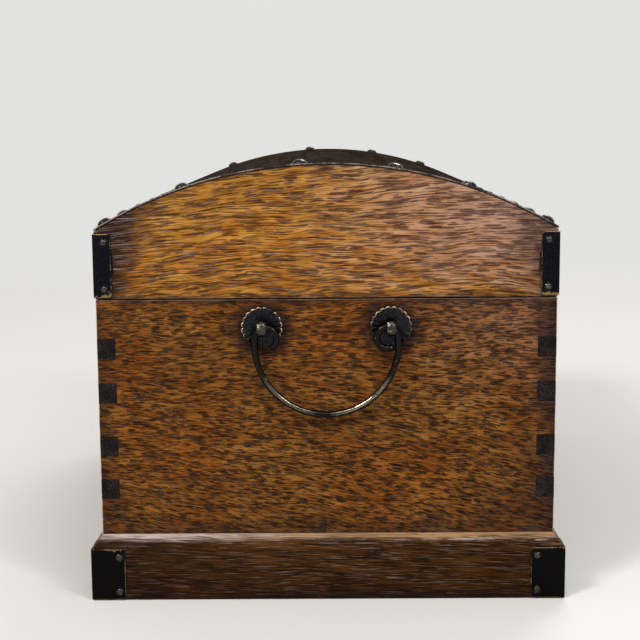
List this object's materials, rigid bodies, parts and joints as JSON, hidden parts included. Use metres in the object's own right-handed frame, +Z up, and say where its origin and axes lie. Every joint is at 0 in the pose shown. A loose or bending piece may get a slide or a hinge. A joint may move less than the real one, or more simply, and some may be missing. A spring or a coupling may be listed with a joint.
{
  "type": "treasure chest",
  "caption": "Small domed wooden chest on a plinth, with a nailed cover, iron corner brackets, wire bail handles, a front lock and back hinges.",
  "frame": {"origin": "on the surface that the chest stands on, under the middle of the chest", "axes": "+Z up, +X along the length towards the pictured end, -Y towards the front with the lock"},
  "size_m": [0.3776, 0.2357, 0.2133],
  "materials": {
    "wood": "waxed and worn, warm orange-brown with dark grain",
    "dark_wood": "dark reddish brown, worn at the edges",
    "cover": "thin bent board, grey-brown satin",
    "iron": "near-black patina with worn brassy edges",
    "nails": "dark iron, rubbed bright on top",
    "handle_wire": "dark pewter grey, satin",
    "lock_metal": "old dark brass"
  },
  "bodies": {
    "chest": {"plinth_front": "dark_wood", "plinth_back": "dark_wood", "plinth_left": "dark_wood", "plinth_right": "dark_wood", "plinth_bracket_front_left": "iron", "plinth_bracket_front_right": "iron", "plinth_bracket_back_left": "iron", "plinth_bracket_back_right": "iron", "plinth_bracket_nails": "nails", "bottom_board": "dark_wood", "front_board": "wood", "back_board": "wood", "left_end_board": "wood", "right_end_board": "wood", "left_rosette_front": "iron", "left_rosette_back": "iron", "right_rosette_front": "iron", "right_rosette_back": "iron", "left_eye_front": "nails", "left_eye_back": "nails", "right_eye_front": "nails", "right_eye_back": "nails", "hinge_body_leaf_left": "iron", "hinge_body_leaf_right": "iron", "hinge_pin_left": "nails", "hinge_pin_right": "nails", "hinge_body_nails": "nails", "lock_plate_body": "iron", "lock_plate_body_nails": "nails"},
    "lid": {"lid_front_rail": "wood", "lid_back_rail": "wood", "lid_left_end": "wood", "lid_right_end": "wood", "lid_stave_1": "wood", "lid_stave_2": "wood", "lid_stave_3": "wood", "lid_stave_4": "wood", "lid_stave_5": "wood", "lid_stave_6": "wood", "lid_cover": "cover", "lid_cover_nails": "nails", "lid_bracket_front_left": "iron", "lid_bracket_front_right": "iron", "lid_bracket_back_left": "iron", "lid_bracket_back_right": "iron", "lid_bracket_nails": "nails", "hinge_lid_leaf_left": "iron", "hinge_lid_leaf_right": "iron", "hinge_lid_nails": "nails", "lock_plate_lid": "iron", "lock_plate_lid_nails": "nails", "tongue_pin": "nails"},
    "tongue": {"lock_tongue": "lock_metal"},
    "left_handle": {"left_bail": "handle_wire"},
    "right_handle": {"right_bail": "handle_wire"}
  },
  "joints": [
    {"name": "lid_hinge", "type": "hinge", "parent": "chest", "child": "lid", "pos_m": [0, 0.1128, 0.1472], "axis": [-1, 0, 0], "range_deg": [0, 105]},
    {"name": "tongue_swing", "type": "hinge", "parent": "lid", "child": "tongue", "pos_m": [0, -0.1138, 0.158], "axis": [-1, 0, 0], "range_deg": [0, 150]},
    {"name": "left_handle_swing", "type": "hinge", "parent": "chest", "child": "left_handle", "pos_m": [-0.1849, 0, 0.1337], "axis": [0, 1, 0], "range_deg": [-4, 180]},
    {"name": "right_handle_swing", "type": "hinge", "parent": "chest", "child": "right_handle", "pos_m": [0.1849, 0, 0.1337], "axis": [0, -1, 0], "range_deg": [-4, 180]}
  ]
}
